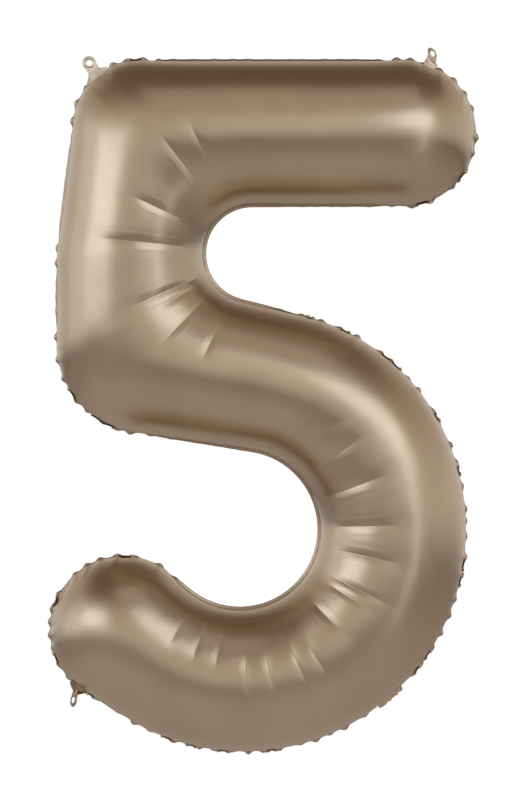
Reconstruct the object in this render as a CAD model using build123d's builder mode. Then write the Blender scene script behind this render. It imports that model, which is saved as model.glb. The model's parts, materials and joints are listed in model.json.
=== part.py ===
from build123d import *
import os
from math import acos, atan2, cos, degrees, radians, sin

# A foil balloon in the shape of the digit 5, blown up, hanging upright.
# The digit is one rounded stroke, like a sausage bent along a pen's path. It faces -Y and its
# seam lies in the plane y = 0. Distances are in millimetres, and the lowest cut edge is at z = 0.
# "Eye" is the centre of the round hollow in the bowl, and "bay" is the hollow under the top bar.

# stroke
stroke = 186.0  # across the blown-up stroke, from cut edge to cut edge
seal = 4.0  # width of the heat-sealed margin
wall = 0.8  # thickness that stands for each film
seal_thickness = 0.8  # the two films fused together

# top bar, stem and bay
bay_x = -13.0
bay_radius = 58.0
corner_x = -229.0  # where the top edge would meet the stem's edge
corner_radius = 85.0
stem_width = 189.0
heel_radius = 116.0
heel_drop = 210.0  # from the bay's centre down to where stem and waist edges would meet

# waist, bowl and hook
waist_slope = 14.0  # degrees
waist_length = 80.0
eye_shift = Vector(-10, -4)  # from midway between the centres of the bowl's arcs
eye_ease = 3.0  # how far the round hollow opens beyond the base arc's inner edge
crown_radius = 175.0  # the bowl's centre line, in three arcs
crown_turn = 46.0
side_radius = 192.0
side_turn = 33.0
base_radius = 187.0
hook_slope = 33.0
hook_length = 58.5

# hang tabs
film = 0.4  # thickness of a tab or of one neck or valve film
tab_root_width = 24.0
tab_neck_width = 11.0
tab_neck_at = 7.0  # from the root to where the flare ends
tab_head_radius = 8.5
tab_eye_at = 16.0  # from the root to the eyelet's centre
eyelet_radius = 4.0
tab_clearance = 0.5  # free gap between a tab's root and the cut edge
# each tab's angle round its stretch of edge, skew in the digit's plane, backward lean and twist
top_left_tab = (130.0, -10.0, 0.0, 8.0)
top_right_tab = (68.0, 11.0, 35.0, 40.0)
bottom_left_tab = (232.0, 20.0, 10.0, 60.0)

# inflation neck and valve
neck_angle = -49.0  # degrees round the bowl
neck_width = 40.0
neck_length = 74.0
neck_clearance = 1.0
mouth_height = 1.2  # unsealed gap through the margin
mouth_width = 34.0
valve_width = 30.0
valve_length = 110.0
valve_gap = 0.5

half = stroke / 2
tube_radius = half - seal
eye_radius = base_radius - half + eye_ease


def heading(angle):
    """A step of 1 mm towards an angle in the digit's own plane."""
    return Vector(cos(radians(angle)), sin(radians(angle)))


def tangent_point(centre, radius, start, side):
    """Where a straight edge from start touches a round one; side is 1 or -1."""
    to_start = start - centre
    swing = degrees(acos(radius / to_start.length))
    return centre + radius * heading(degrees(atan2(to_start.Y, to_start.X)) + side * swing)


def foot_on(start, end, point):
    """The point of a straight edge nearest to a given point."""
    along = (end - start).normalized()
    return start + along * (point - start).dot(along)


# The pen's path along the waist, round the bowl and out to the hook, seen from the front. It is
# worked out around the bay, and everything is raised afterwards so that the digit stands on z = 0.
waist_heading = -waist_slope
bay = Vector(bay_x, 0)
waist_top = bay + bay_radius * heading(270 + waist_heading)
waist_start = waist_top - half * heading(90 + waist_heading)
waist_end = waist_start + waist_length * heading(waist_heading)
base_turn = 180 + hook_slope - waist_slope - crown_turn - side_turn
hook_heading = 180 - hook_slope

with BuildLine() as path:
    crown = JernArc(waist_end, heading(waist_heading), crown_radius, -crown_turn)
    side = JernArc(crown @ 1, crown % 1, side_radius, -side_turn)
    base = JernArc(side @ 1, side % 1, base_radius, -base_turn)
    hook = Line(base @ 1, base @ 1 + hook_length * (base % 1))

lowest = base.arc_center.Y - base_radius - half
rise = Vector(0, -lowest)
bay += rise
hook_end = hook @ 1 + rise
bar_end = Vector(-hook_end.X, bay.Y + bay_radius + half)
top = bar_end.Y + half
under = bar_end.Y - half
stem_x = bay.X - bay_radius - stem_width
waist_top += rise
waist_out = waist_end + half * heading(90 + waist_heading) + rise

# The round hollow in the bowl, and the straight edges that run off it to the heel and the hook
eye = crown.arc_center * 0.5 + base.arc_center * 0.5 + rise + eye_shift
heel = Vector(stem_x, bay.Y - heel_drop)
hook_inner = hook_end + half * heading(hook_heading - 90)
hook_outer = hook_end - half * heading(hook_heading - 90)
eye_in = tangent_point(eye, eye_radius, heel, -1)
eye_out = tangent_point(eye, eye_radius, hook_inner, 1)
heel_in = foot_on(heel, eye_in, waist_top)

# The edge of the digit, in stretches. Each stretch has a side of its own and an opposite side, and
# a number of ribs that run across the stroke from one to the other.
crown_out = (crown.arc_center + rise, crown_radius + half, 90 + waist_heading)
side_out = (side.arc_center + rise, side_radius + half, crown_out[2] - crown_turn)
base_out = (base.arc_center + rise, base_radius + half, side_out[2] - side_turn)

with BuildLine() as bar_under:
    Line((bar_end.X, under), (bay.X, under))
with BuildLine() as bar_top:
    Line((bar_end.X, top), (bay.X, top))
with BuildLine() as bay_upper:
    CenterArc(bay, bay_radius, 90, 90)
with BuildLine() as shoulder:
    FilletPolyline((bay.X, top), (corner_x, top), (stem_x, bay.Y), radius=corner_radius)
with BuildLine() as bay_lower:
    CenterArc(bay, bay_radius, 180, 90 + waist_heading)
with BuildLine() as heel_edge:
    FilletPolyline((stem_x, bay.Y), tuple(heel), tuple(heel_in), radius=heel_radius)
with BuildLine() as waist_upper:
    Line(waist_top, waist_out)
with BuildLine() as waist_lower:
    Line(heel_in, eye_in)
with BuildLine() as bowl_edge:
    CenterArc(crown_out[0], crown_out[1], crown_out[2], -crown_turn)
    CenterArc(side_out[0], side_out[1], side_out[2], -side_turn)
    CenterArc(base_out[0], base_out[1], base_out[2], -base_turn)
with BuildLine() as eye_edge:
    RadiusArc(eye_in, eye_out, -eye_radius, short_sagitta=False)
with BuildLine() as hook_under:
    Line(base @ 1 + rise - half * heading(hook_heading - 90), hook_outer)
with BuildLine() as hook_over:
    Line(eye_out, hook_inner)

stretches = [
    (bar_under, bar_top, 4),
    (bay_upper, shoulder, 6),
    (bay_lower, heel_edge, 6),
    (waist_upper, waist_lower, 2),
    (bowl_edge, eye_edge, 12),
    (hook_under, hook_over, 1),
]


def ribs():
    """Pairs of facing edge points, from the bar's round end to the hook's."""
    pairs = [(bar_under.line @ 0, bar_top.line @ 0)]
    for near, far, count in stretches:
        for step in range(1, count + 1):
            pairs.append((near.line @ (step / count), far.line @ (step / count)))
    return pairs


def in_seam_plane(point):
    """A point of the flat outline, placed in the seam plane."""
    return Vector(point.X, 0, point.Y)


def blown_up(inset):
    """The solid shape of the filled stroke, a given distance inside the cut edge."""
    depth = half - inset
    with BuildPart() as stroke_body:
        for near, far in ribs():
            across = in_seam_plane(near - far)
            centre = in_seam_plane((near + far) / 2)
            travel = across.cross(Vector(0, 1, 0))
            with BuildSketch(Plane(centre, x_dir=across, z_dir=travel)):
                Ellipse(across.length / 2 - inset, depth)
        loft()
        with Locations(Plane(in_seam_plane(bar_end), x_dir=(0, 0, 1), z_dir=(1, 0, 0))):
            Sphere(depth, arc_size1=0, align=(Align.CENTER, Align.CENTER, Align.MIN))
        outward = in_seam_plane(heading(hook_heading))
        with Locations(Plane(in_seam_plane(hook_end), x_dir=(0, 1, 0), z_dir=outward)):
            Sphere(depth, arc_size1=0, align=(Align.CENTER, Align.CENTER, Align.MIN))
    return stroke_body.part


filled = blown_up(seal)
hollow = blown_up(seal + wall)

# The neck's place on the bowl's edge: the middle of the stroke there, and the ways out and along
neck_out = in_seam_plane(heading(neck_angle))
neck_along = in_seam_plane(heading(neck_angle - 90))
neck_middle = in_seam_plane(base_out[0]) + base_radius * neck_out
back = Vector(0, 1, 0)

with BuildPart() as mouth:
    with BuildSketch(Plane(neck_middle + (half + seal) * neck_out, x_dir=neck_along, z_dir=neck_out)):
        Rectangle(mouth_width, mouth_height)
    extrude(amount=-3 * seal)

with BuildPart() as front_panel:
    add(filled)
    add(hollow, mode=Mode.SUBTRACT)
    split(bisect_by=Plane.XZ, keep=Keep.TOP)
    add(mouth.part, mode=Mode.SUBTRACT)

with BuildPart() as back_panel:
    mirror(front_panel.part, about=Plane.XZ)

with BuildPart() as seam_flange:
    with BuildSketch(Plane.XZ):
        with BuildLine():
            for near, far, count in stretches:
                add(near.line)
                add(far.line)
            ThreePointArc(bar_under.line @ 0, bar_end + Vector(half, 0), bar_top.line @ 0)
            ThreePointArc(hook_inner, hook_end + half * heading(hook_heading), hook_outer)
        make_face()
    extrude(amount=seal_thickness / 2, both=True)
    add(filled, mode=Mode.SUBTRACT)
    add(mouth.part, mode=Mode.SUBTRACT)


def tab_frame(centre, radius, angle, skew, lean, twist):
    """A tab's root on a round stretch of edge, the ways out and along there, and the head's own."""
    root = in_seam_plane(centre + (radius + tab_clearance) * heading(angle))
    edge_out = in_seam_plane(heading(angle))
    edge_along = in_seam_plane(heading(angle - 90))
    flat_out = in_seam_plane(heading(angle + skew))
    flat_across = in_seam_plane(heading(angle + skew - 90))
    out = flat_out * cos(radians(lean)) + back * sin(radians(lean))
    across = flat_across * cos(radians(twist)) + out.cross(flat_across) * sin(radians(twist))
    return root, edge_out, edge_along, out, across


def hang_tab(root, edge_out, edge_along, out, across):
    """A punched tab: a flared root that twists up to a round head with an eyelet."""
    flare_end = root + out * tab_neck_at
    with BuildPart() as tab:
        with BuildSketch(Plane(root, x_dir=edge_along, z_dir=edge_out)):
            Rectangle(tab_root_width, film)
        with BuildSketch(Plane(flare_end, x_dir=across, z_dir=out)):
            Rectangle(tab_neck_width, film)
        loft()
        with BuildSketch(Plane(flare_end, x_dir=across, z_dir=across.cross(out))):
            Rectangle(tab_neck_width, tab_eye_at - tab_neck_at, align=(Align.CENTER, Align.MIN))
            with Locations((0, tab_eye_at - tab_neck_at)):
                Circle(tab_head_radius)
                Circle(eyelet_radius, mode=Mode.SUBTRACT)
        extrude(amount=film / 2, both=True)
    return tab.part


shoulder_arc = shoulder.edges().filter_by(GeomType.CIRCLE)[0]
tab_frames = {
    "hang_tab_top_left": tab_frame(shoulder_arc.arc_center, corner_radius, *top_left_tab),
    "hang_tab_top_right": tab_frame(bar_end, half, *top_right_tab),
    "hang_tab_bottom_left": tab_frame(hook_end, half, *bottom_left_tab),
}


def neck_film(radius):
    """One film of the folded neck, curved round behind the stroke at a given radius."""
    start = degrees(mouth_height / radius)
    sweep = degrees(neck_length / radius)
    with BuildPart() as film_part:
        with BuildSketch(Plane(neck_middle, x_dir=neck_out, z_dir=neck_out.cross(back))):
            with BuildLine():
                near = CenterArc((0, 0), radius, start, sweep)
                far = CenterArc((0, 0), radius + film, start, sweep)
                Line(near @ 0, far @ 0)
                Line(near @ 1, far @ 1)
            make_face()
        extrude(amount=neck_width / 2, both=True)
    return film_part.part


valve_root = neck_middle + (tube_radius - wall - valve_gap) * neck_out


def valve_film(side):
    """One lip of the valve, lying beside the seam plane inside the bowl; side is -1 in front."""
    with BuildPart() as lip:
        with BuildSketch(Plane(valve_root + back * side * valve_gap, x_dir=neck_along, z_dir=neck_out)):
            Rectangle(valve_width, film)
        extrude(amount=-valve_length)
    return lip.part


neck_radius = half + neck_clearance
with BuildPart() as neck_back_film:
    add(neck_film(neck_radius))
with BuildPart() as neck_front_film:
    add(neck_film(neck_radius + film))
with BuildPart() as valve_front_film:
    add(valve_film(-1))
with BuildPart() as valve_back_film:
    add(valve_film(1))

pieces = {
    "front_panel": front_panel.part,
    "back_panel": back_panel.part,
    "seam_flange": seam_flange.part,
    **{name: hang_tab(*frame) for name, frame in tab_frames.items()},
    "neck_front_film": neck_front_film.part,
    "neck_back_film": neck_back_film.part,
    "valve_front_film": valve_front_film.part,
    "valve_back_film": valve_back_film.part,
}
os.makedirs("parts", exist_ok=True)
for name, piece in pieces.items():
    piece.label = name
    export_step(piece, f"parts/{name}.step")
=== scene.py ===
import json
import math

import bpy
import numpy as np
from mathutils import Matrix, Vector


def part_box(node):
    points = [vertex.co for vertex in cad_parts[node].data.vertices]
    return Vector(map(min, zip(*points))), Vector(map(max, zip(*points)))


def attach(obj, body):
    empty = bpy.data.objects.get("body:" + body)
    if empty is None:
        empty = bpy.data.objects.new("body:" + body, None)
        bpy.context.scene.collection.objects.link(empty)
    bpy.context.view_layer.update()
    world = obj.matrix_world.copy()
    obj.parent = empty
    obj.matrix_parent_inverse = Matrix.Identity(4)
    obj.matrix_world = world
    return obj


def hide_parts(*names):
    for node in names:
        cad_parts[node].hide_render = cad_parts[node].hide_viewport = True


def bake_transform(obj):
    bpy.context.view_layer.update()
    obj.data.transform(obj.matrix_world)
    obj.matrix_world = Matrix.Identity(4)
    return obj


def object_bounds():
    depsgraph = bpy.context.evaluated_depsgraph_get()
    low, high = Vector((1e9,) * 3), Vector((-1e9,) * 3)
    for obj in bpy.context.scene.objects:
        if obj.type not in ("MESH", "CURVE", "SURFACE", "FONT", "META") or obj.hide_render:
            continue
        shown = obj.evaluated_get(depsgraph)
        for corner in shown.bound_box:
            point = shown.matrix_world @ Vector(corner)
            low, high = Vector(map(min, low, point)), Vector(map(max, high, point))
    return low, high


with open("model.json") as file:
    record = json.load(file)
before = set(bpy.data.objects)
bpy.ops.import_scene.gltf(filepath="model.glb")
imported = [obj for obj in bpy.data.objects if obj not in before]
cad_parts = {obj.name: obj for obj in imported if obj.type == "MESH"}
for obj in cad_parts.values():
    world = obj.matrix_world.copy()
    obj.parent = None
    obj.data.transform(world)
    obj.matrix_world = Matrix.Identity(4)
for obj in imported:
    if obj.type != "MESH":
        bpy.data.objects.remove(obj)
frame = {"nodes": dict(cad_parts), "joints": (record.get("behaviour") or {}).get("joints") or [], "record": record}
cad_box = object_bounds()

# The looks of a foil balloon in the shape of the digit 5. The digit is one puffed stroke that runs
# from the end of its top bar, round the bay under the bar, down the waist, round the bowl's eye and
# out to the hook. Every row of the films' mesh is a rib, which crosses the stroke from one sealed
# edge to the other. Lengths are in metres, and MM is one millimetre.
MM = 0.001
FRONT, BACK = -1, 1
UP_BACK = np.array([0.0, 1.0, 0.0])
random = np.random.default_rng(5)

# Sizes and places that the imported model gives
record = frame["record"]
mounts = {mount["name"]: mount for mount in record["mounts"]}
joints = {joint["name"]: joint for joint in frame["joints"]}
openings = {space["name"]: np.array(space["box_m"]) for space in record["physics"]["openings"]}
panel_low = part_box("front_panel")[0]
margin_low, margin_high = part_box("seam_flange")
puff = -panel_low.y

WAIST_SLOPE = 14.0  # degrees by which the waist falls towards the bowl
HOOK_SLOPE = 33.0  # degrees by which the hook rises from the bowl
RIB_STEP = 2.3 * MM  # between ribs at the stroke's outer edge
OUTER_RADIUS = 265 * MM  # of the stroke's outer edge round a hollow, which sets the ribs' angle
RIB_CELLS = 64  # cells of film along each rib
MARGIN_CELLS = 4  # cells across the sealed margin
NECK_OPENING = 35 * MM  # unsealed stretch of margin that the neck comes out of
EASED_RIBS = 30  # ribs on either side that the stroke's form is averaged over
EASED_SPREAD = 15  # ribs, the width of that average

# How the sealed edge puckers
BEND_WINDOW = 28 * MM  # stretch of edge over which its bend is judged
STRAIGHT_LOOSENESS = 0.16  # of an edge that doesn't bend
BEND_FOR_LOOSE = 6.5  # bend in 1/m that makes the edge fully loose
EAR_WIDTH = 3.4 * MM  # of the bump in the cut edge at each pucker
EAR_HEIGHT = 1.4 * MM  # by which that bump stands proud
LEAN_BACK = 82  # degrees by which the loose margin turns back between its ears

# The creases of the blown-up film run out from the middles of the two hollows. Each has its angle
# in degrees, the distances in mm at which it starts and ends, its depth and its half width in mm.
BAY_CREASES = [
    (128, 97, 186, 3.2, 2.2),
    (116, 98, 180, 2.6, 2.0),
    (102, 92, 114, 1.0, 1.8),
    (155, 97, 165, 3.0, 2.2),
    (175, 84, 188, 3.8, 2.4),
    (205, 74, 165, 3.6, 2.6),
    (211, 84, 138, 2.0, 2.0),
    (225, 84, 161, 3.0, 2.2),
    (245, 100, 145, 2.2, 2.0),
]
EYE_CREASES = [
    (58, 156, 178, 1.4, 2.0),
    (48, 151, 184, 2.2, 2.2),
    (38, 120, 189, 3.2, 2.4),
    (21, 117, 193, 3.4, 2.4),
    (2, 120, 193, 3.6, 2.4),
    (-11.5, 122, 199, 3.6, 2.4),
    (-27, 126, 201, 3.2, 2.2),
    (-30.5, 128, 186, 2.2, 2.0),
    (-44.5, 127, 190, 3.0, 2.2),
    (-59, 158, 208, 2.8, 2.2),
    (-66, 153, 209, 3.0, 2.2),
    (-78, 153, 209, 3.2, 2.4),
    (-87, 154, 208, 3.2, 2.4),
    (-100, 130, 171, 2.2, 2.2),
    (-110, 128, 167, 2.2, 2.2),
    (-121, 126, 166, 2.0, 2.2),
]


# --- The stroke's edges and ribs ---


def unit(angle):
    """A step of length 1 in the seam plane towards an angle in degrees."""
    return np.array([math.cos(math.radians(angle)), math.sin(math.radians(angle))])


def margin_outline():
    """The outline of the sealed margin's front face, as pairs of end points in the seam plane."""
    grid = 1e-6
    mesh = frame["nodes"]["seam_flange"].data
    uses = {}
    for face in mesh.polygons:
        if face.normal.y > -0.9:
            continue
        places = [mesh.vertices[i].co for i in face.vertices]
        corners = [(round(p.x / grid), round(p.z / grid)) for p in places]
        for a, b in zip(corners, corners[1:] + corners[:1]):
            key = (min(a, b), max(a, b))
            uses[key] = uses.get(key, 0) + 1
    return np.array([key for key, count in uses.items() if count == 1]) * grid


def crossings(start, step):
    """How far along a line from start it crosses the margin's outline each time."""
    a, b = outline[:, 0] - start, outline[:, 1] - start
    across = np.array([-step[1], step[0]])
    side_a, side_b = a @ across, b @ across
    hit = (side_a < 0) != (side_b < 0)
    share = side_a[hit] / (side_a[hit] - side_b[hit])
    along = (a[hit] + (b[hit] - a[hit]) * share[:, None]) @ step
    return np.sort(along[along > 0])


def cut_edges(start, step):
    """The two cut edges that a line crosses on its way over the stroke, as distances from start."""
    found = crossings(start, step)
    whole = len(found) > 3 and found[3] - found[2] < 4 * margin_width
    return found[0], found[3] if whole else math.nan


def crowded(low, high, creases):
    """The angles of the ribs from low to high, closer together where there are creases."""
    fine = np.linspace(low, high, 4000)
    crowd = 1 + sum(1.6 * np.exp(-(((fine - crease[0]) / 1.5) ** 2)) for crease in creases)
    total = np.cumsum(crowd) * abs(high - low) / len(fine)
    count = int(total[-1] / math.degrees(RIB_STEP / OUTER_RADIUS))
    return np.interp(np.linspace(total[0], total[-1], count), total, fine)


def run(start, way, length, step):
    """Lines side by side along a straight part of the stroke."""
    count = max(2, int(length / RIB_STEP))
    return [(start + way * length * k / count, step) for k in range(count)]


outline = margin_outline()
eye = openings["lower_bay"].mean(axis=0)[[0, 2]]
bay_level = openings["upper_bay"].mean(axis=0)[[0, 2]]
bay_radius = crossings(bay_level, unit(90))[0]
bay = bay_level + np.array([bay_radius - crossings(bay_level, unit(180))[0], 0])
half_stroke = (margin_high.z - bay[1] - bay_radius) / 2
margin_width = half_stroke - puff
waist_way, hook_way = unit(-WAIST_SLOPE), unit(180 - HOOK_SLOPE)


def hook_run():
    """How far the hook runs straight on from the eye to the middle of its round end."""
    places = []
    for start in (eye, eye + hook_way * half_stroke / 2):
        near, far = cut_edges(start, unit(-90 - HOOK_SLOPE))
        places.append((start + unit(-90 - HOOK_SLOPE) * (near + far) / 2)[0])
    wanted = margin_low.x + half_stroke
    return half_stroke / 2 * (wanted - places[0]) / (places[1] - places[0])


def stroke_edges():
    """The stroke's two cut edges, rib by rib: the one that starts under the bar, and the other."""
    bar_end = np.array([margin_high.x - half_stroke, bay[1]])
    from_bay = run(bar_end, unit(180), bar_end[0] - bay[0], unit(90))
    from_bay += [(bay, unit(angle)) for angle in crowded(90, 270 - WAIST_SLOPE, BAY_CREASES)]
    from_bay += run(bay, waist_way, (eye - bay) @ waist_way, unit(270 - WAIST_SLOPE))
    around_eye = crowded(90 - WAIST_SLOPE, -90 - HOOK_SLOPE, EYE_CREASES)
    from_eye = [(eye, unit(angle)) for angle in around_eye]
    from_eye += run(eye, hook_way, hook_run(), unit(-90 - HOOK_SLOPE))
    from_eye.append((eye + hook_way * hook_run(), unit(-90 - HOOK_SLOPE)))
    starts = np.array([line[0] for line in from_bay + from_eye])
    steps = np.array([line[1] for line in from_bay + from_eye])
    reach = np.array([cut_edges(start, step) for start, step in zip(starts, steps)])
    for side in (0, 1):
        known = ~np.isnan(reach[:, side])
        order = np.arange(len(reach))
        reach[:, side] = np.interp(order, order[known], reach[known, side])
    first = starts + steps * reach[:, :1]
    second = starts + steps * reach[:, 1:]
    swap = np.arange(len(starts))[:, None] >= len(from_bay)
    return np.where(swap, second, first), np.where(swap, first, second)


def round_end(first, second, outward):
    """The cut edges round an end of the stroke, from its last straight rib out to its tip."""
    centre, spoke = (first + second) / 2, (first - second) / 2
    radius = np.linalg.norm(spoke)
    count = int(radius * math.pi / 2 / RIB_STEP)
    turn = np.linspace(0, math.pi / 2, count + 1)[1:, None]
    tip = outward * radius * np.sin(turn)
    return centre + spoke * np.cos(turn) + tip, centre - spoke * np.cos(turn) + tip


def eased(line, passes):
    """A line of points with its small corners rounded off."""
    for _ in range(passes):
        line = line.copy()
        line[1:-1] = line[1:-1] / 2 + (line[:-2] + line[2:]) / 4
    return line


def whole_edges():
    """Both cut edges of the whole stroke, which meet at its two tips."""
    first, second = stroke_edges()
    bar = round_end(first[0], second[0], unit(0))
    hook = round_end(first[-1], second[-1], hook_way)
    first = np.vstack([bar[0][::-1], first, hook[0]])
    second = np.vstack([bar[1][::-1], second, hook[1]])
    return eased(first, 3), eased(second, 3)


first_edge, second_edge = whole_edges()
second_edge[[0, -1]] = first_edge[[0, -1]]
rows = len(first_edge)
# The loop goes out along the first edge and comes back along the second
loop = np.vstack([first_edge, second_edge[-2:0:-1]])
loop_step = np.roll(loop, -1, axis=0) - np.roll(loop, 1, axis=0)
loop_out = np.stack([loop_step[:, 1], -loop_step[:, 0]], axis=1)
loop_out /= np.linalg.norm(loop_out, axis=1)[:, None]
area = np.sum(loop[:, 0] * np.roll(loop[:, 1], -1) - loop[:, 1] * np.roll(loop[:, 0], -1))
loop_out *= np.sign(area)
count = len(loop)
gaps = np.linalg.norm(np.roll(loop, -1, axis=0) - loop, axis=1)
along_loop = np.concatenate([[0], np.cumsum(gaps)[:-1]])
loop_length = gaps.sum()


def near_on_loop(place):
    """How far round the loop from the bar's tip a place in the seam plane is."""
    away = np.linalg.norm(loop - np.array([place[0], place[2]]), axis=1)
    return along_loop[away.argmin()]


def loop_distance(at):
    """Signed distance along the loop from a place on it to every loop point."""
    return (along_loop - at + loop_length / 2) % loop_length - loop_length / 2


def fullness():
    """How loose the sealed edge is: 1 where it bulges outwards, 0 in the hollows."""
    ahead = np.roll(loop_out, -1, axis=0)
    turn = ahead[:, 0] * loop_out[:, 1] - ahead[:, 1] * loop_out[:, 0]
    bend = -turn * np.sign(area) / gaps
    window = np.array([np.exp(-((loop_distance(at) / BEND_WINDOW) ** 2)) for at in along_loop])
    bend = (window * gaps) @ bend / (window @ gaps)
    loose = np.clip(STRAIGHT_LOOSENESS + bend / BEND_FOR_LOOSE, 0, 1)
    for name in ("tab_top_left_flex", "tab_top_right_flex", "tab_bottom_left_flex"):
        away = loop_distance(near_on_loop(joints[name]["pos_m"]))
        loose *= 1 - 0.9 * np.exp(-((away / (15 * MM)) ** 4))
    away = loop_distance(near_on_loop(joints["neck_fold"]["pos_m"]))
    return loose * (1 - 0.75 * np.exp(-((away / (24 * MM)) ** 4)))


loose = fullness()


def pucker_places():
    """Each pucker's place on the loop, its height, its reach into the film and its lean."""
    places, at = [], 6 * MM
    while at < loop_length - 8 * MM:
        height = random.uniform(0.35, 1.15)
        reach = random.uniform(11, 26) * MM
        lean = random.choice([-1.0, 1.0, 1.0])
        places.append((at, height, reach, lean))
        at += random.uniform(15, 34) * MM
    return places


puckers = pucker_places()


def bumped(at, width):
    """A smooth bump of height 1 on the loop."""
    return np.exp(-((loop_distance(at) / width) ** 2))


ears = sum(height * bumped(at, EAR_WIDTH) for at, height, reach, lean in puckers) * loose
sway = sum(lean * bumped(at + 10 * MM, 9 * MM) for at, height, reach, lean in puckers) * loose
panel_inset = margin_width * (1 - 0.5 * loose)
film_edge = loop - loop_out * (panel_inset - EAR_HEIGHT * ears)[:, None]


def split_edges(around):
    """Values round the loop as one row for each rib's start and one for its end."""
    return around[:rows], np.concatenate([around[:1], around[rows:][::-1], around[rows - 1 : rows]])


def crease(radius, angle, form):
    """How deep one crease presses the film in, at given distances and angles from a hollow."""
    at, near, far, deep, width = form
    along = (radius / MM - near) / (far - near)
    body = np.where((along > 0) & (along < 1), np.sin(np.pi * np.clip(along, 0, 1)), 0) ** 0.75
    turn = (angle - at + 180) % 360 - 180
    off = radius / MM * np.sin(np.radians(turn))
    off = np.where(np.abs(turn) < 60, off, 1e3)
    sharp = np.exp(-np.abs(off / (0.72 * width)) ** 1.15)
    soft = np.exp(-((off / (4.2 * width)) ** 2))
    lip = np.exp(-(((np.abs(off) - 2.6 * width) / (1.5 * width)) ** 2))
    ends = np.exp(-((((radius / MM) - (near + far) / 2) / (0.62 * (far - near))) ** 2))
    return (deep * (0.36 * sharp * body + 0.26 * soft * ends - 0.07 * lip * body)) * MM


def undulation(points, seed):
    """The film's slight unevenness over the whole digit, as heights."""
    waves = np.random.default_rng(seed)
    height = np.zeros(points.shape[:-1])
    for _ in range(9):
        way = waves.normal(size=3)
        way *= 2 * math.pi / (waves.uniform(70, 190) * MM) / np.linalg.norm(way)
        height += np.sin(points @ way + waves.uniform(0, 6.28))
    return height * 0.11 * MM


def smooth_normals(points, side):
    """The outward directions of a grid of points."""
    down = np.gradient(points, axis=0)
    along = np.gradient(points, axis=1)
    normal = np.cross(down, along)
    size = np.linalg.norm(normal, axis=2, keepdims=True)
    normal = normal / np.maximum(size, 1e-12)
    return normal * np.sign(np.sum(normal[rows // 2, :, 1]) * side)


def eased_along(points):
    """The ribs' points, averaged along the stroke so that no corner shows as a fold."""
    reach = EASED_RIBS
    spread = np.exp(-((np.arange(-reach, reach + 1) / EASED_SPREAD) ** 2))
    spread /= spread.sum()
    before = 2 * points[:1] - points[reach:0:-1]
    after = 2 * points[-1:] - points[-2 : -reach - 2 : -1]
    padded = np.concatenate([before, points, after])
    window = 2 * reach + 1
    return np.stack([np.sum(padded[i : i + window] * spread[:, None, None], axis=0) for i in range(rows)])


def pucker_heights(reach_in, at_loop):
    """How far the puckers lift the film beside one sealed edge."""
    lift = np.zeros_like(reach_in)
    for at, height, reach, _ in puckers:
        off = ((at_loop - at + loop_length / 2) % loop_length - loop_length / 2)[:, None]
        fade = np.exp(-((reach_in / reach) ** 1.4))
        ridge = np.exp(-((off / (3.6 * MM + 0.10 * reach_in)) ** 2))
        trough = np.exp(-(((np.abs(off) - 7.5 * MM) / (4.5 * MM)) ** 2))
        lift += height * fade * (1.7 * ridge - 0.75 * trough * np.minimum(1, reach_in / (3 * MM)))
    return lift * MM


def panel_points(side, bay_creases, eye_creases, seed):
    """The points of one film, rib by rib, from one sealed edge to the other."""
    first, second = split_edges(loop - loop_out * panel_inset[:, None])
    centre, spoke = (first + second) / 2, (first - second) / 2
    half_width = np.linalg.norm(spoke, axis=1)
    share = np.linspace(0, 1, RIB_CELLS + 1)
    turn = np.pi * (share - 0.55 * np.sin(2 * np.pi * share) / (2 * np.pi))
    tall = np.minimum(puff, half_width * puff / (half_stroke - margin_width))
    points = np.zeros((rows, RIB_CELLS + 1, 3))
    flat = centre[:, None, :] + spoke[:, None, :] * np.cos(turn)[None, :, None]
    points[..., 0], points[..., 2] = flat[..., 0], flat[..., 1]
    points[..., 1] = side * tall[:, None] * np.sin(turn)
    inside = np.sin(turn)[None, :]
    points += (eased_along(eased_along(points)) - points) * inside[..., None]
    normal = smooth_normals(points, side)
    raised = undulation(points, seed) * inside
    for middle, forms in ((bay, bay_creases), (eye, eye_creases)):
        off = flat - middle
        radius = np.linalg.norm(off, axis=2)
        angle = np.degrees(np.arctan2(off[..., 1], off[..., 0]))
        for form in forms:
            raised -= crease(radius, angle, form)
    girth = half_width[:, None] * turn[None, :]
    back_girth = half_width[:, None] * (np.pi - turn)[None, :]
    first_at, second_at = split_edges(along_loop)
    first_loose, second_loose = split_edges(loose)
    raised += pucker_heights(girth, first_at) * first_loose[:, None]
    raised += pucker_heights(back_girth, second_at) * second_loose[:, None]
    return points + normal * raised[..., None]


# --- Meshes and materials ---


def linear(code):
    """An sRGB hex colour turned to linear values."""
    parts = [int(code[i : i + 2], 16) / 255 for i in (1, 3, 5)]
    return [p / 12.92 if p <= 0.04045 else ((p + 0.055) / 1.055) ** 2.4 for p in parts] + [1.0]


def add_piece(name, points, faces, material):
    """A smooth-shaded object made of points and faces."""
    mesh = bpy.data.meshes.new(name)
    mesh.from_pydata([tuple(p) for p in points], [], faces)
    mesh.update()
    mesh.polygons.foreach_set("use_smooth", [True] * len(mesh.polygons))
    mesh.materials.append(material)
    piece = bpy.data.objects.new(name, mesh)
    bpy.context.scene.collection.objects.link(piece)
    return piece


def grid_faces(down, across, offset=0, flip=False):
    """Quads over a grid of points that is down by across points."""
    faces = []
    for i in range(down - 1):
        for j in range(across - 1):
            a = offset + i * across + j
            quad = (a, a + 1, a + across + 1, a + across)
            faces.append(quad[::-1] if flip else quad)
    return faces


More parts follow.
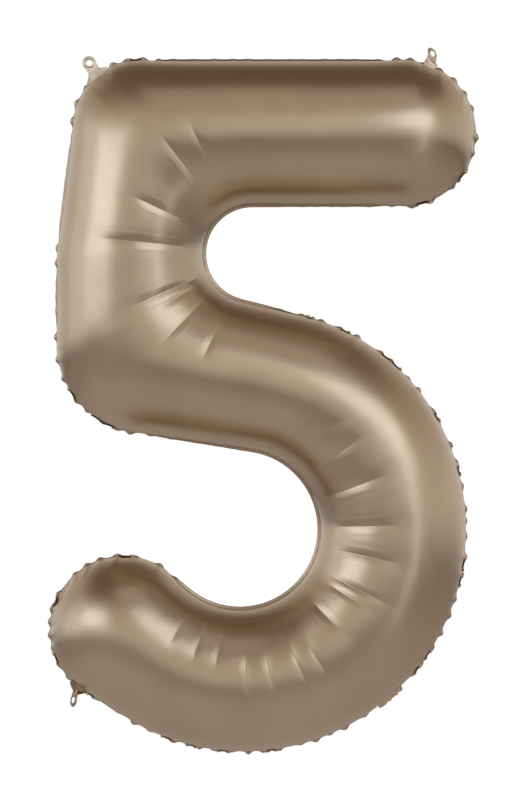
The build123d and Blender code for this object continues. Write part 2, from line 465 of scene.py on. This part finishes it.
def film_panel(name, points, side, material):
    """One film of the digit, with each tip drawn together in one point."""
    across = points.shape[1]
    inner = points[1:-1].reshape(-1, 3)
    vertices = np.vstack([points[:1, 0], inner, points[-1:, 0]])
    faces = grid_faces(rows - 2, across, 1, side == FRONT)
    last = len(vertices) - 1
    low = last - across
    for j in range(across - 1):
        start, end = (0, 1 + j, 2 + j), (last, low + j + 1, low + j)
        faces.append(start[::-1] if side == FRONT else start)
        faces.append(end[::-1] if side == FRONT else end)
    return add_piece(name, vertices, faces, material)


def thin_solid(name, points, thickness, material):
    """A closed thin film over a grid of mid-film points."""
    down, across = points.shape[:2]
    normal = np.cross(np.gradient(points, axis=0), np.gradient(points, axis=1))
    normal /= np.maximum(np.linalg.norm(normal, axis=2, keepdims=True), 1e-12)
    top = (points + normal * thickness / 2).reshape(-1, 3)
    bottom = (points - normal * thickness / 2).reshape(-1, 3)
    size = down * across
    faces = grid_faces(down, across, 0, True) + grid_faces(down, across, size)
    rim = [i * across for i in range(down)]
    rim += [(down - 1) * across + j for j in range(1, across)]
    rim += [i * across + across - 1 for i in range(down - 2, -1, -1)]
    rim += list(range(across - 2, 0, -1))
    faces += [(a, size + a, size + b, b) for a, b in zip(rim, rim[1:] + rim[:1])]
    return add_piece(name, np.vstack([top, bottom]), faces, material)


def margin_points():
    """The sealed margin, from the films' edge out to the cut edge, all round the digit."""
    turned_back = np.clip(0.25 + 1.6 * loose, 0, 1) * np.clip(1 - 1.5 * ears, 0, 1)
    lean = np.radians(LEAN_BACK) * turned_back * np.where(sway < -0.45, -0.8, 1)
    lean = np.convolve(np.concatenate([lean[-4:], lean, lean[:4]]), np.ones(3) / 3, "same")[4:-4]
    share = np.linspace(0, 1, MARGIN_CELLS + 1)
    width = margin_width * (1 - 0.22 * loose)
    points = np.zeros((count, MARGIN_CELLS + 1, 3))
    reach = (width * np.cos(lean))[:, None] * share
    flat = film_edge[:, None, :] + loop_out[:, None, :] * reach[..., None]
    points[..., 0], points[..., 2] = flat[..., 0], flat[..., 1]
    points[..., 1] = (width * np.sin(lean))[:, None] * share
    neck = loop_distance(near_on_loop(joints["neck_fold"]["pos_m"]))
    sealed = np.abs(neck) > NECK_OPENING / 2
    turned = np.argsort(neck % loop_length)
    return points[turned][sealed[turned]]


def add_node(tree, kind, settings=(), links=()):
    """A node with its settings and links. A link is the node's input, the other node and its output."""
    node = tree.nodes.new(kind)
    for key, value in dict(settings).items():
        if isinstance(key, str) and hasattr(node, key):
            setattr(node, key, value)
        else:
            node.inputs[key].default_value = value
    for key, source, output in links:
        tree.links.new(source.outputs[output], node.inputs[key])
    return node


def new_material(name):
    """An empty material with its output, its shader and the place of each point on the object."""
    material = bpy.data.materials.new(name)
    material.use_nodes = True
    tree = material.node_tree
    tree.nodes.clear()
    shader = add_node(tree, "ShaderNodeBsdfPrincipled")
    add_node(tree, "ShaderNodeOutputMaterial", links=[("Surface", shader, "BSDF")])
    place = add_node(tree, "ShaderNodeTexCoord")
    return material, tree, shader, place


def metallised_film(name, shade, light, rough, grain):
    """Nylon film metallised with aluminium under a tinted matt lacquer. The metal gives broad soft
    reflections, the lacquer's fine grain scatters them, and its coat varies slightly in strength."""
    material, tree, shader, place = new_material(name)
    cloud = add_node(tree, "ShaderNodeTexNoise", {"Scale": 1 / (90 * MM), "Detail": 3.0},
                     [("Vector", place, "Object")])
    tint = add_node(tree, "ShaderNodeValToRGB", links=[("Fac", cloud, "Fac")])
    tint.color_ramp.elements[0].position, tint.color_ramp.elements[1].position = 0.3, 0.7
    tint.color_ramp.elements[0].color = linear(shade)
    tint.color_ramp.elements[1].color = linear(light)
    streak = add_node(tree, "ShaderNodeTexNoise", {"Scale": 1 / (7 * MM), "Detail": 5.0, "Roughness": 0.6},
                      [("Vector", place, "Object")])
    matt = add_node(tree, "ShaderNodeMapRange", {"To Min": rough - 0.02, "To Max": rough + 0.03},
                    [("Value", streak, "Fac")])
    # Lacquer grain is about 0.05 mm across, and is drawn at 0.8 mm so that it shows
    speck = add_node(tree, "ShaderNodeTexNoise", {"Scale": 1 / (0.8 * MM), "Detail": 2.0},
                     [("Vector", place, "Object")])
    ripple = add_node(tree, "ShaderNodeTexNoise", {"Scale": 1 / (24 * MM), "Detail": 2.0},
                      [("Vector", place, "Object")])
    fine = add_node(tree, "ShaderNodeBump", {"Strength": grain, "Distance": 0.05 * MM},
                    [("Height", speck, "Fac")])
    broad = add_node(tree, "ShaderNodeBump", {"Strength": 0.25, "Distance": 0.5 * MM},
                     [("Height", ripple, "Fac"), ("Normal", fine, "Normal")])
    tree.links.new(tint.outputs["Color"], shader.inputs["Base Color"])
    tree.links.new(matt.outputs["Result"], shader.inputs["Roughness"])
    tree.links.new(broad.outputs["Normal"], shader.inputs["Normal"])
    shader.inputs["Metallic"].default_value = 1.0
    shader.inputs["Coat Weight"].default_value = 0.5
    shader.inputs["Coat Roughness"].default_value = 0.4
    return material


# A broad latte-brown sheen with soft highlights
satin_film = metallised_film("satin_lacquered_metallised_film", "#b3a087", "#bdaa90", 0.31, 0.3)
# The same film dulled by the sealing bar, with its colour darkened as painted shade, so that the margin draws the
# thin dark edge that shade lays along the seam
margin_film_painted_shade = metallised_film("margin_metallised_film_painted_shade", "#a28d75", "#b59f87", 0.36, 0.5)
# Tab film coloured darker than the digit as painted shade, since this tab is turned away from the light
tab_film_painted_shade = metallised_film("tab_film_painted_shade", "#84705a", "#947f68", 0.36, 0.4)
# Film without print, so the metal shows as pale cream
pearl_film = metallised_film("unprinted_pearl_tab_film", "#cbbfa9", "#d6cab5", 0.42, 0.3)


def clear_polyethylene():
    """Blown polyethylene film, milky clear and slightly glossy, as valves are cut from."""
    material, tree, shader, place = new_material("blown_clear_polyethylene")
    haze = add_node(tree, "ShaderNodeTexNoise", {"Scale": 1 / (6 * MM), "Detail": 3.0},
                    [("Vector", place, "Object")])
    milky = add_node(tree, "ShaderNodeMapRange", {"To Min": 0.16, "To Max": 0.3},
                     [("Value", haze, "Fac")])
    tree.links.new(milky.outputs["Result"], shader.inputs["Roughness"])
    shader.inputs["Base Color"].default_value = linear("#f2f5f5")
    shader.inputs["IOR"].default_value = 1.51
    shader.inputs["Transmission Weight"].default_value = 0.85
    shader.inputs["Alpha"].default_value = 0.6
    return material


valve_film = clear_polyethylene()


# --- The digit's films and margin ---


def jittered(creases, seed):
    """The other film's creases: the same stretches of film buckle, but never in the same lines."""
    dice = np.random.default_rng(seed)
    return [
        (at + dice.uniform(-3, 3), near + dice.uniform(-8, 8), far + dice.uniform(-12, 8),
         deep * dice.uniform(0.8, 1.1), width)
        for at, near, far, deep, width in creases
    ]


front_points = panel_points(FRONT, BAY_CREASES, EYE_CREASES, 11)
back_points = panel_points(BACK, jittered(BAY_CREASES, 7), jittered(EYE_CREASES, 8), 12)
front_film = film_panel("front_film", front_points, FRONT, satin_film)
back_film = film_panel("back_film", back_points, BACK, satin_film)
for film, node in ((front_film, "front_panel"), (back_film, "back_panel")):
    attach(film, "balloon")
    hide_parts(node)
# The margin's material holds painted shade: its darker colour draws the seam's dark edge
sealed_margin = thin_solid("sealed_margin", margin_points(), 0.3 * MM, margin_film_painted_shade)
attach(sealed_margin, "balloon")
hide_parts("seam_flange")


# --- Hang tabs ---

TAB_TUCK = 5 * MM  # of each tab lies on the margin
TAB_EDGE_RADIUS = 90 * MM  # of the digit's edge where the tabs are
TAB_FLARE = 7 * MM  # over which a tab narrows and twists
TAB_RISE_ROWS = 21  # rows of film from the tuck to the end of the flare
TAB_ROUND_ROWS = 4  # rows that then bend into the head's round edge
TAB_AROUND = 72  # points round the head
TAB_RINGS = 9

def width_along(node, way, centre, within):
    """How wide a CAD node is along a direction, counting only points near a centre."""
    places = np.array([v.co for v in frame["nodes"][node].data.vertices])
    places = places[np.linalg.norm(places - centre, axis=1) < within]
    reach = (places - centre) @ way
    return reach.max() - reach.min()


def tab_outline(root_half, neck_half, eye_at, head, hole):
    """The flat film of a tab, as points across and out from its root, with its faces."""
    turn = math.asin(neck_half / head)
    around = TAB_AROUND
    strip = 2 * round(turn / (2 * math.pi / around)) + 1
    turn = (strip - 1) / 2 * 2 * math.pi / around
    arc = np.linspace(-turn, turn, strip)
    top = np.stack([head * np.sin(arc), eye_at - head * np.cos(arc)], axis=1)
    flat, faces = [], []
    outs = np.linspace(-TAB_TUCK, TAB_FLARE, TAB_RISE_ROWS)
    outs = np.concatenate([outs, np.full(TAB_ROUND_ROWS, TAB_FLARE)])
    for row, out in enumerate(outs):
        flare = np.clip(out / TAB_FLARE, 0, 1)
        half = neck_half + (root_half - neck_half) * (1 - flare) ** 2.6
        half -= 0.25 * min(0, out + 1.5 * MM) ** 2 / MM
        level = np.stack([np.linspace(-half, half, strip), np.full(strip, out)], axis=1)
        share = max(0, row - TAB_RISE_ROWS + 1) / TAB_ROUND_ROWS
        flat.append(level * (1 - share) + top * share)
    faces = grid_faces(len(flat), strip)
    flat = list(np.vstack(flat))
    shared = len(flat) - strip
    first = len(flat)
    turns = 2 * math.pi * np.arange(around) / around - turn
    rim = [shared + k if k < strip else first + k - strip for k in range(around)]
    for angle in turns[strip:]:
        flat.append(np.array([head * math.sin(angle), eye_at - head * math.cos(angle)]))
    for radius in np.linspace(head, hole, TAB_RINGS)[1:]:
        ring = list(range(len(flat), len(flat) + around))
        for angle in turns:
            flat.append(np.array([radius * math.sin(angle), eye_at - radius * math.cos(angle)]))
        faces += [(rim[k], rim[(k + 1) % around], ring[(k + 1) % around], ring[k]) for k in range(around)]
        rim = ring
    return np.array(flat), faces


def hang_tab(place, seed, material, spread):
    """A punched tab that flares out of the margin, twists, and ends in a head with an eyelet.
    Spread is how much wider than its designed root the film is where it runs into the margin."""
    joint, mount = joints[f"tab_{place}_flex"], mounts[f"eyelet_{place}"]
    root, edge = np.array(joint["pos_m"]), np.array(joint["axis"])
    eyelet, facing = np.array(mount["pos_m"]), np.array(mount["axis"])
    node = f"hang_tab_{place}"
    hole = mount["dims"]["r_mm"] * MM
    eye_at = np.linalg.norm(eyelet - root)
    out = (eyelet - root) / eye_at
    across, edge_out = np.cross(out, facing), np.array([-edge[2], 0, edge[0]])
    places = np.array([v.co for v in frame["nodes"][node].data.vertices])
    head = ((places - eyelet) @ out).max()
    root_half = width_along(node, edge, root, 13 * MM) / 2
    flat, faces = tab_outline(root_half + spread, 0.9 * head, eye_at, head, hole)
    turn = np.clip(flat[:, 1] / TAB_FLARE, 0, 1)
    turn = (turn * turn * (3 - 2 * turn))[:, None]
    wide = edge * (1 - turn) + across * turn
    wide /= np.linalg.norm(wide, axis=1)[:, None]
    rise = edge_out * (1 - turn) + out * turn
    lift = np.cross(wide, rise)
    lift /= np.linalg.norm(lift, axis=1)[:, None]
    radius = np.linalg.norm(flat - np.array([0, eye_at]), axis=1)
    ring = 0.8 * MM * np.exp(-(((radius - hole - 1.2 * MM) / (0.7 * MM)) ** 2))
    curl = np.clip((radius - head + 1.3 * MM) / (1.3 * MM), 0, 1) * (flat[:, 1] > eye_at - head * 0.4)
    ring -= 0.9 * MM * curl**2
    dice = np.random.default_rng(seed)
    sag = 0.35 * MM * np.sin(flat[:, 0] / (3.1 * MM) + dice.uniform(0, 6)) * (1 - turn[:, 0])
    drop = flat[:, :1] ** 2 / (2 * TAB_EDGE_RADIUS) * (1 - turn)
    points = root + wide * flat[:, :1] + rise * flat[:, 1:] + lift * (ring + sag)[:, None] - edge_out * drop
    tab = add_piece(f"{place}_tab", points, faces, material)
    film = tab.modifiers.new("film_thickness", "SOLIDIFY")
    film.thickness, film.offset = 0.4 * MM, 0
    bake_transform(tab)
    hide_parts(node)


hang_tab("top_left", 21, pearl_film, 4 * MM)
hang_tab("top_right", 22, pearl_film, -3 * MM)
# The bottom tab's film is painted shade: darker because it faces away from the light
hang_tab("bottom_left", 23, tab_film_painted_shade, 0)


# --- Inflation neck and valve ---

NECK_TUCK = 5 * MM  # of the neck lies inside the seam
NECK_BEND = 2.5 * MM  # radius at which it turns over the edge
NECK_LENGTH = 74  # millimetres over which its mouth comes to gape
neck_hinge = np.array(joints["neck_fold"]["pos_m"])
neck_axis = np.array(joints["neck_fold"]["axis"])
neck_way = np.cross(neck_axis, UP_BACK)
neck_reach = np.array(mounts["inflation_mouth"]["pos_m"]) - neck_hinge
neck_drop, neck_back = -neck_reach @ neck_way, neck_reach[1]
neck_radius = (neck_drop**2 + neck_back**2) / (2 * neck_drop)
neck_sweep = 2 * math.atan2(neck_drop, neck_back)
neck_centre = neck_hinge - neck_way * neck_radius


def neck_path(along):
    """The neck's route: out through the seam, over the edge and round behind the stroke."""
    bend = NECK_BEND
    tucked = along - NECK_TUCK
    turn = np.clip(tucked / (bend * math.pi / 2), 0, 1) * math.pi / 2
    swept = np.clip(tucked - bend * math.pi / 2, 0, None) / neck_radius + bend / neck_radius
    before = np.minimum(tucked, 0)
    out = np.where(
        tucked <= bend * math.pi / 2,
        neck_radius - bend + before + bend * np.sin(turn),
        neck_radius * np.cos(swept - bend / neck_radius),
    )
    back = np.where(
        tucked <= bend * math.pi / 2,
        bend * (1 - np.cos(turn)),
        bend + neck_radius * np.sin(swept - bend / neck_radius),
    )
    return out, back


def neck_film(side, node):
    """One film of the neck, pleated where the rounded edge gathers it, with its edges welded flat."""
    length = NECK_TUCK + neck_radius * neck_sweep
    width = width_along(node, neck_axis, neck_hinge, 1.0)
    along = np.linspace(0, length, 90)
    out, back = neck_path(along)
    share = np.linspace(-1, 1, 61)
    past = np.clip((along - NECK_TUCK) / MM, 0, None)[:, None]
    gathered = 1 - 0.16 * np.exp(-past / 14)
    across = share[None, :] * width / 2 * gathered
    pleats = 0.9 * np.sin(share * 11.5 + 0.6 + past * 0.02) + 0.5 * np.sin(share * 19 - 1.1)
    pleats = pleats * np.exp(-past / 26) * (1 - np.exp(-past / 3))
    welded = np.clip((1 - np.abs(share)) * width / 2 / (3 * MM), 0, 1)
    gape = 0.22 + 0.4 * (past / NECK_LENGTH) ** 2 * np.cos(share * math.pi / 2) * welded
    wave = 0.35 * np.sin(past / 9 + share * 2.0) * welded * np.clip(past / 15, 0, 1)
    step = np.stack([np.gradient(out), np.gradient(back)], axis=1)
    step /= np.linalg.norm(step, axis=1)[:, None]
    height = (pleats + wave + side * gape) * MM
    far = out[:, None] + step[:, 1:] * height
    deep = back[:, None] - step[:, :1] * height
    points = neck_centre + neck_way * far[..., None] + UP_BACK * deep[..., None]
    points = points + neck_axis * across[..., None]
    name = "neck_outer_film" if side > 0 else "neck_inner_film"
    film = thin_solid(name, points, 0.15 * MM, satin_film)
    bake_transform(film)
    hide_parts(node)


neck_film(1, "neck_front_film")
neck_film(-1, "neck_back_film")


def valve_lip(side, node, body):
    """One lip of the self-sealing valve: soft film with welded edges and a winding air channel."""
    low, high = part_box(node)
    hinge = np.array(joints[f"{body}_flex"]["pos_m"])
    places = np.array([v.co for v in frame["nodes"][node].data.vertices])
    length = (-(places - hinge) @ neck_way).max()
    width = width_along(node, neck_axis, hinge, 1.0)
    share, along = np.meshgrid(np.linspace(-1, 1, 41), np.linspace(0, 1, 141))
    half = width / 2 * (1 - 0.25 * np.clip((along - 0.8) / 0.2, 0, 1) ** 2)
    weld = np.exp(-(((np.abs(share) - 0.88) / 0.06) ** 2))
    channel = 0.34 * np.sin(along * 15)
    for bank in (-0.3, 0.3):
        weld = np.maximum(weld, np.exp(-(((share - channel - bank) / 0.05) ** 2)) * (along > 0.12))
    puffed = 0.22 * np.cos(share * math.pi / 2) * np.sin(np.pi * np.clip(along, 0.02, 1)) ** 0.5
    height = (low.y + high.y) / 2 + side * (puffed - 0.08 * weld) * MM
    points = hinge * np.array([1, 0, 1]) - neck_way * (along * length)[..., None]
    points = points + neck_axis * (share * half)[..., None] + UP_BACK * height[..., None]
    lip = thin_solid(node.replace("film", "lip"), points, 0.1 * MM, valve_film)
    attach(lip, body)
    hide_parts(node)


valve_lip(FRONT, "valve_front_film", "valve_front_lip")
valve_lip(BACK, "valve_back_film", "valve_back_lip")


# --- Light, floor and camera ---


def soft_box(name, azimuth, height, distance, size, power, colour):
    """A large soft light, placed by its angle from the camera's side and its height angle."""
    light = bpy.data.lights.new(name, "AREA")
    light.shape, light.size, light.size_y, light.energy = "RECTANGLE", size[0], size[1], power
    light.color = colour
    lamp = bpy.data.objects.new(name, light)
    turn, rise = math.radians(azimuth), math.radians(height)
    way = Vector((math.sin(turn) * math.cos(rise), -math.cos(turn) * math.cos(rise), math.sin(rise)))
    lamp.location = aim + way * distance
    lamp.rotation_euler = way.to_track_quat("Z", "Y").to_euler()
    bpy.context.scene.collection.objects.link(lamp)


def studio_world():
    """A pale studio: light all round at eye level, dim overhead, and plain white behind."""
    world = bpy.data.worlds.new("pale_studio")
    bpy.context.scene.world = world
    world.use_nodes = True
    tree = world.node_tree
    tree.nodes.clear()
    place = add_node(tree, "ShaderNodeTexCoord")
    split = add_node(tree, "ShaderNodeSeparateXYZ", links=[("Vector", place, "Generated")])
    level = add_node(tree, "ShaderNodeMapRange", {"From Min": -1.0, "From Max": 1.0},
                     [("Value", split, "Z")])
    ramp = add_node(tree, "ShaderNodeValToRGB", links=[("Fac", level, "Result")])
    ceiling, walls = (0.2, 0.14, 0.1, 1), (0.6, 0.52, 0.45, 1)
    eye_level, floor = (0.81, 0.78, 0.76, 1), (0.1, 0.08, 0.06, 1)
    ramp.color_ramp.elements[0].color, ramp.color_ramp.elements[1].color = floor, ceiling
    levels = ((-12, floor), (-3, eye_level), (13, eye_level), (27, walls), (36, walls), (51, ceiling))
    for rise, colour in levels:
        ramp.color_ramp.elements.new((math.sin(math.radians(rise)) + 1) / 2).color = colour
    around = add_node(tree, "ShaderNodeBackground", links=[("Color", ramp, "Color")])
    behind = add_node(tree, "ShaderNodeBackground", {"Color": (1, 1, 1, 1)})
    ray = add_node(tree, "ShaderNodeLightPath")
    mix = add_node(tree, "ShaderNodeMixShader", links=[("Fac", ray, "Is Camera Ray")])
    tree.links.new(around.outputs[0], mix.inputs[1])
    tree.links.new(behind.outputs[0], mix.inputs[2])
    add_node(tree, "ShaderNodeOutputWorld", links=[("Surface", mix, "Shader")])


def pale_floor():
    """A plain pale floor well below the hanging balloon."""
    material, tree, shader, place = new_material("matt_painted_floor")
    shade = add_node(tree, "ShaderNodeTexNoise", {"Scale": 1.5}, [("Vector", place, "Object")])
    tint = add_node(tree, "ShaderNodeValToRGB", links=[("Fac", shade, "Fac")])
    tint.color_ramp.elements[0].color = linear("#f1f0ee")
    tint.color_ramp.elements[1].color = linear("#f7f6f4")
    tree.links.new(tint.outputs["Color"], shader.inputs["Base Color"])
    shader.inputs["Roughness"].default_value = 0.8
    turn = np.linspace(0, 2 * math.pi, 97)[:-1]
    ring = np.stack([8 * np.cos(turn), 8 * np.sin(turn), np.full(96, -1.5)], axis=1)
    floor = add_piece("floor", ring, [tuple(range(96))], material)
    light = bpy.data.lights.new("floor_soft_box", "AREA")
    light.size, light.energy = 7, 12
    lamp = bpy.data.objects.new("floor_soft_box", light)
    lamp.location = (0, 0, -0.35)
    bpy.context.scene.collection.objects.link(lamp)


def long_lens_camera():
    """A level camera with a long lens, straight in front of the digit."""
    middle = (cad_box[0] + cad_box[1]) / 2
    picture_height = 1.1325 * (cad_box[1].z - cad_box[0].z)
    lens = bpy.data.cameras.new("long_lens")
    lens.lens, lens.sensor_width, lens.clip_end = 216, 36, 100
    camera = bpy.data.objects.new("long_lens", lens)
    camera.location = (middle.x + 1.25 * MM, -picture_height * lens.lens / lens.sensor_width, middle.z)
    camera.rotation_euler = (math.pi / 2, 0, 0)
    bpy.context.scene.collection.objects.link(camera)
    bpy.context.scene.camera = camera


aim = (cad_box[0] + cad_box[1]) / 2
soft_box("key_soft_box", 32, 24, 3.2, (2.3, 1.2), 12.5, (0.86, 1.0, 1.2))
soft_box("left_soft_box", -52, 14, 3.4, (2.4, 1.4), 15.0, (0.86, 1.0, 1.2))
soft_box("right_strip", 39, -4, 3.0, (0.3, 2.0), 2.6, (0.86, 1.0, 1.2))
soft_box("left_wall_box", -88, 10, 3.0, (2.0, 2.0), 4.8, (0.9, 1.0, 1.2))
soft_box("top_soft_box", 10, 60, 3.0, (2.4, 1.4), 4.2, (1, 1, 1))
studio_world()
pale_floor()
long_lens_camera()
bpy.context.scene.view_settings.view_transform = "Standard"
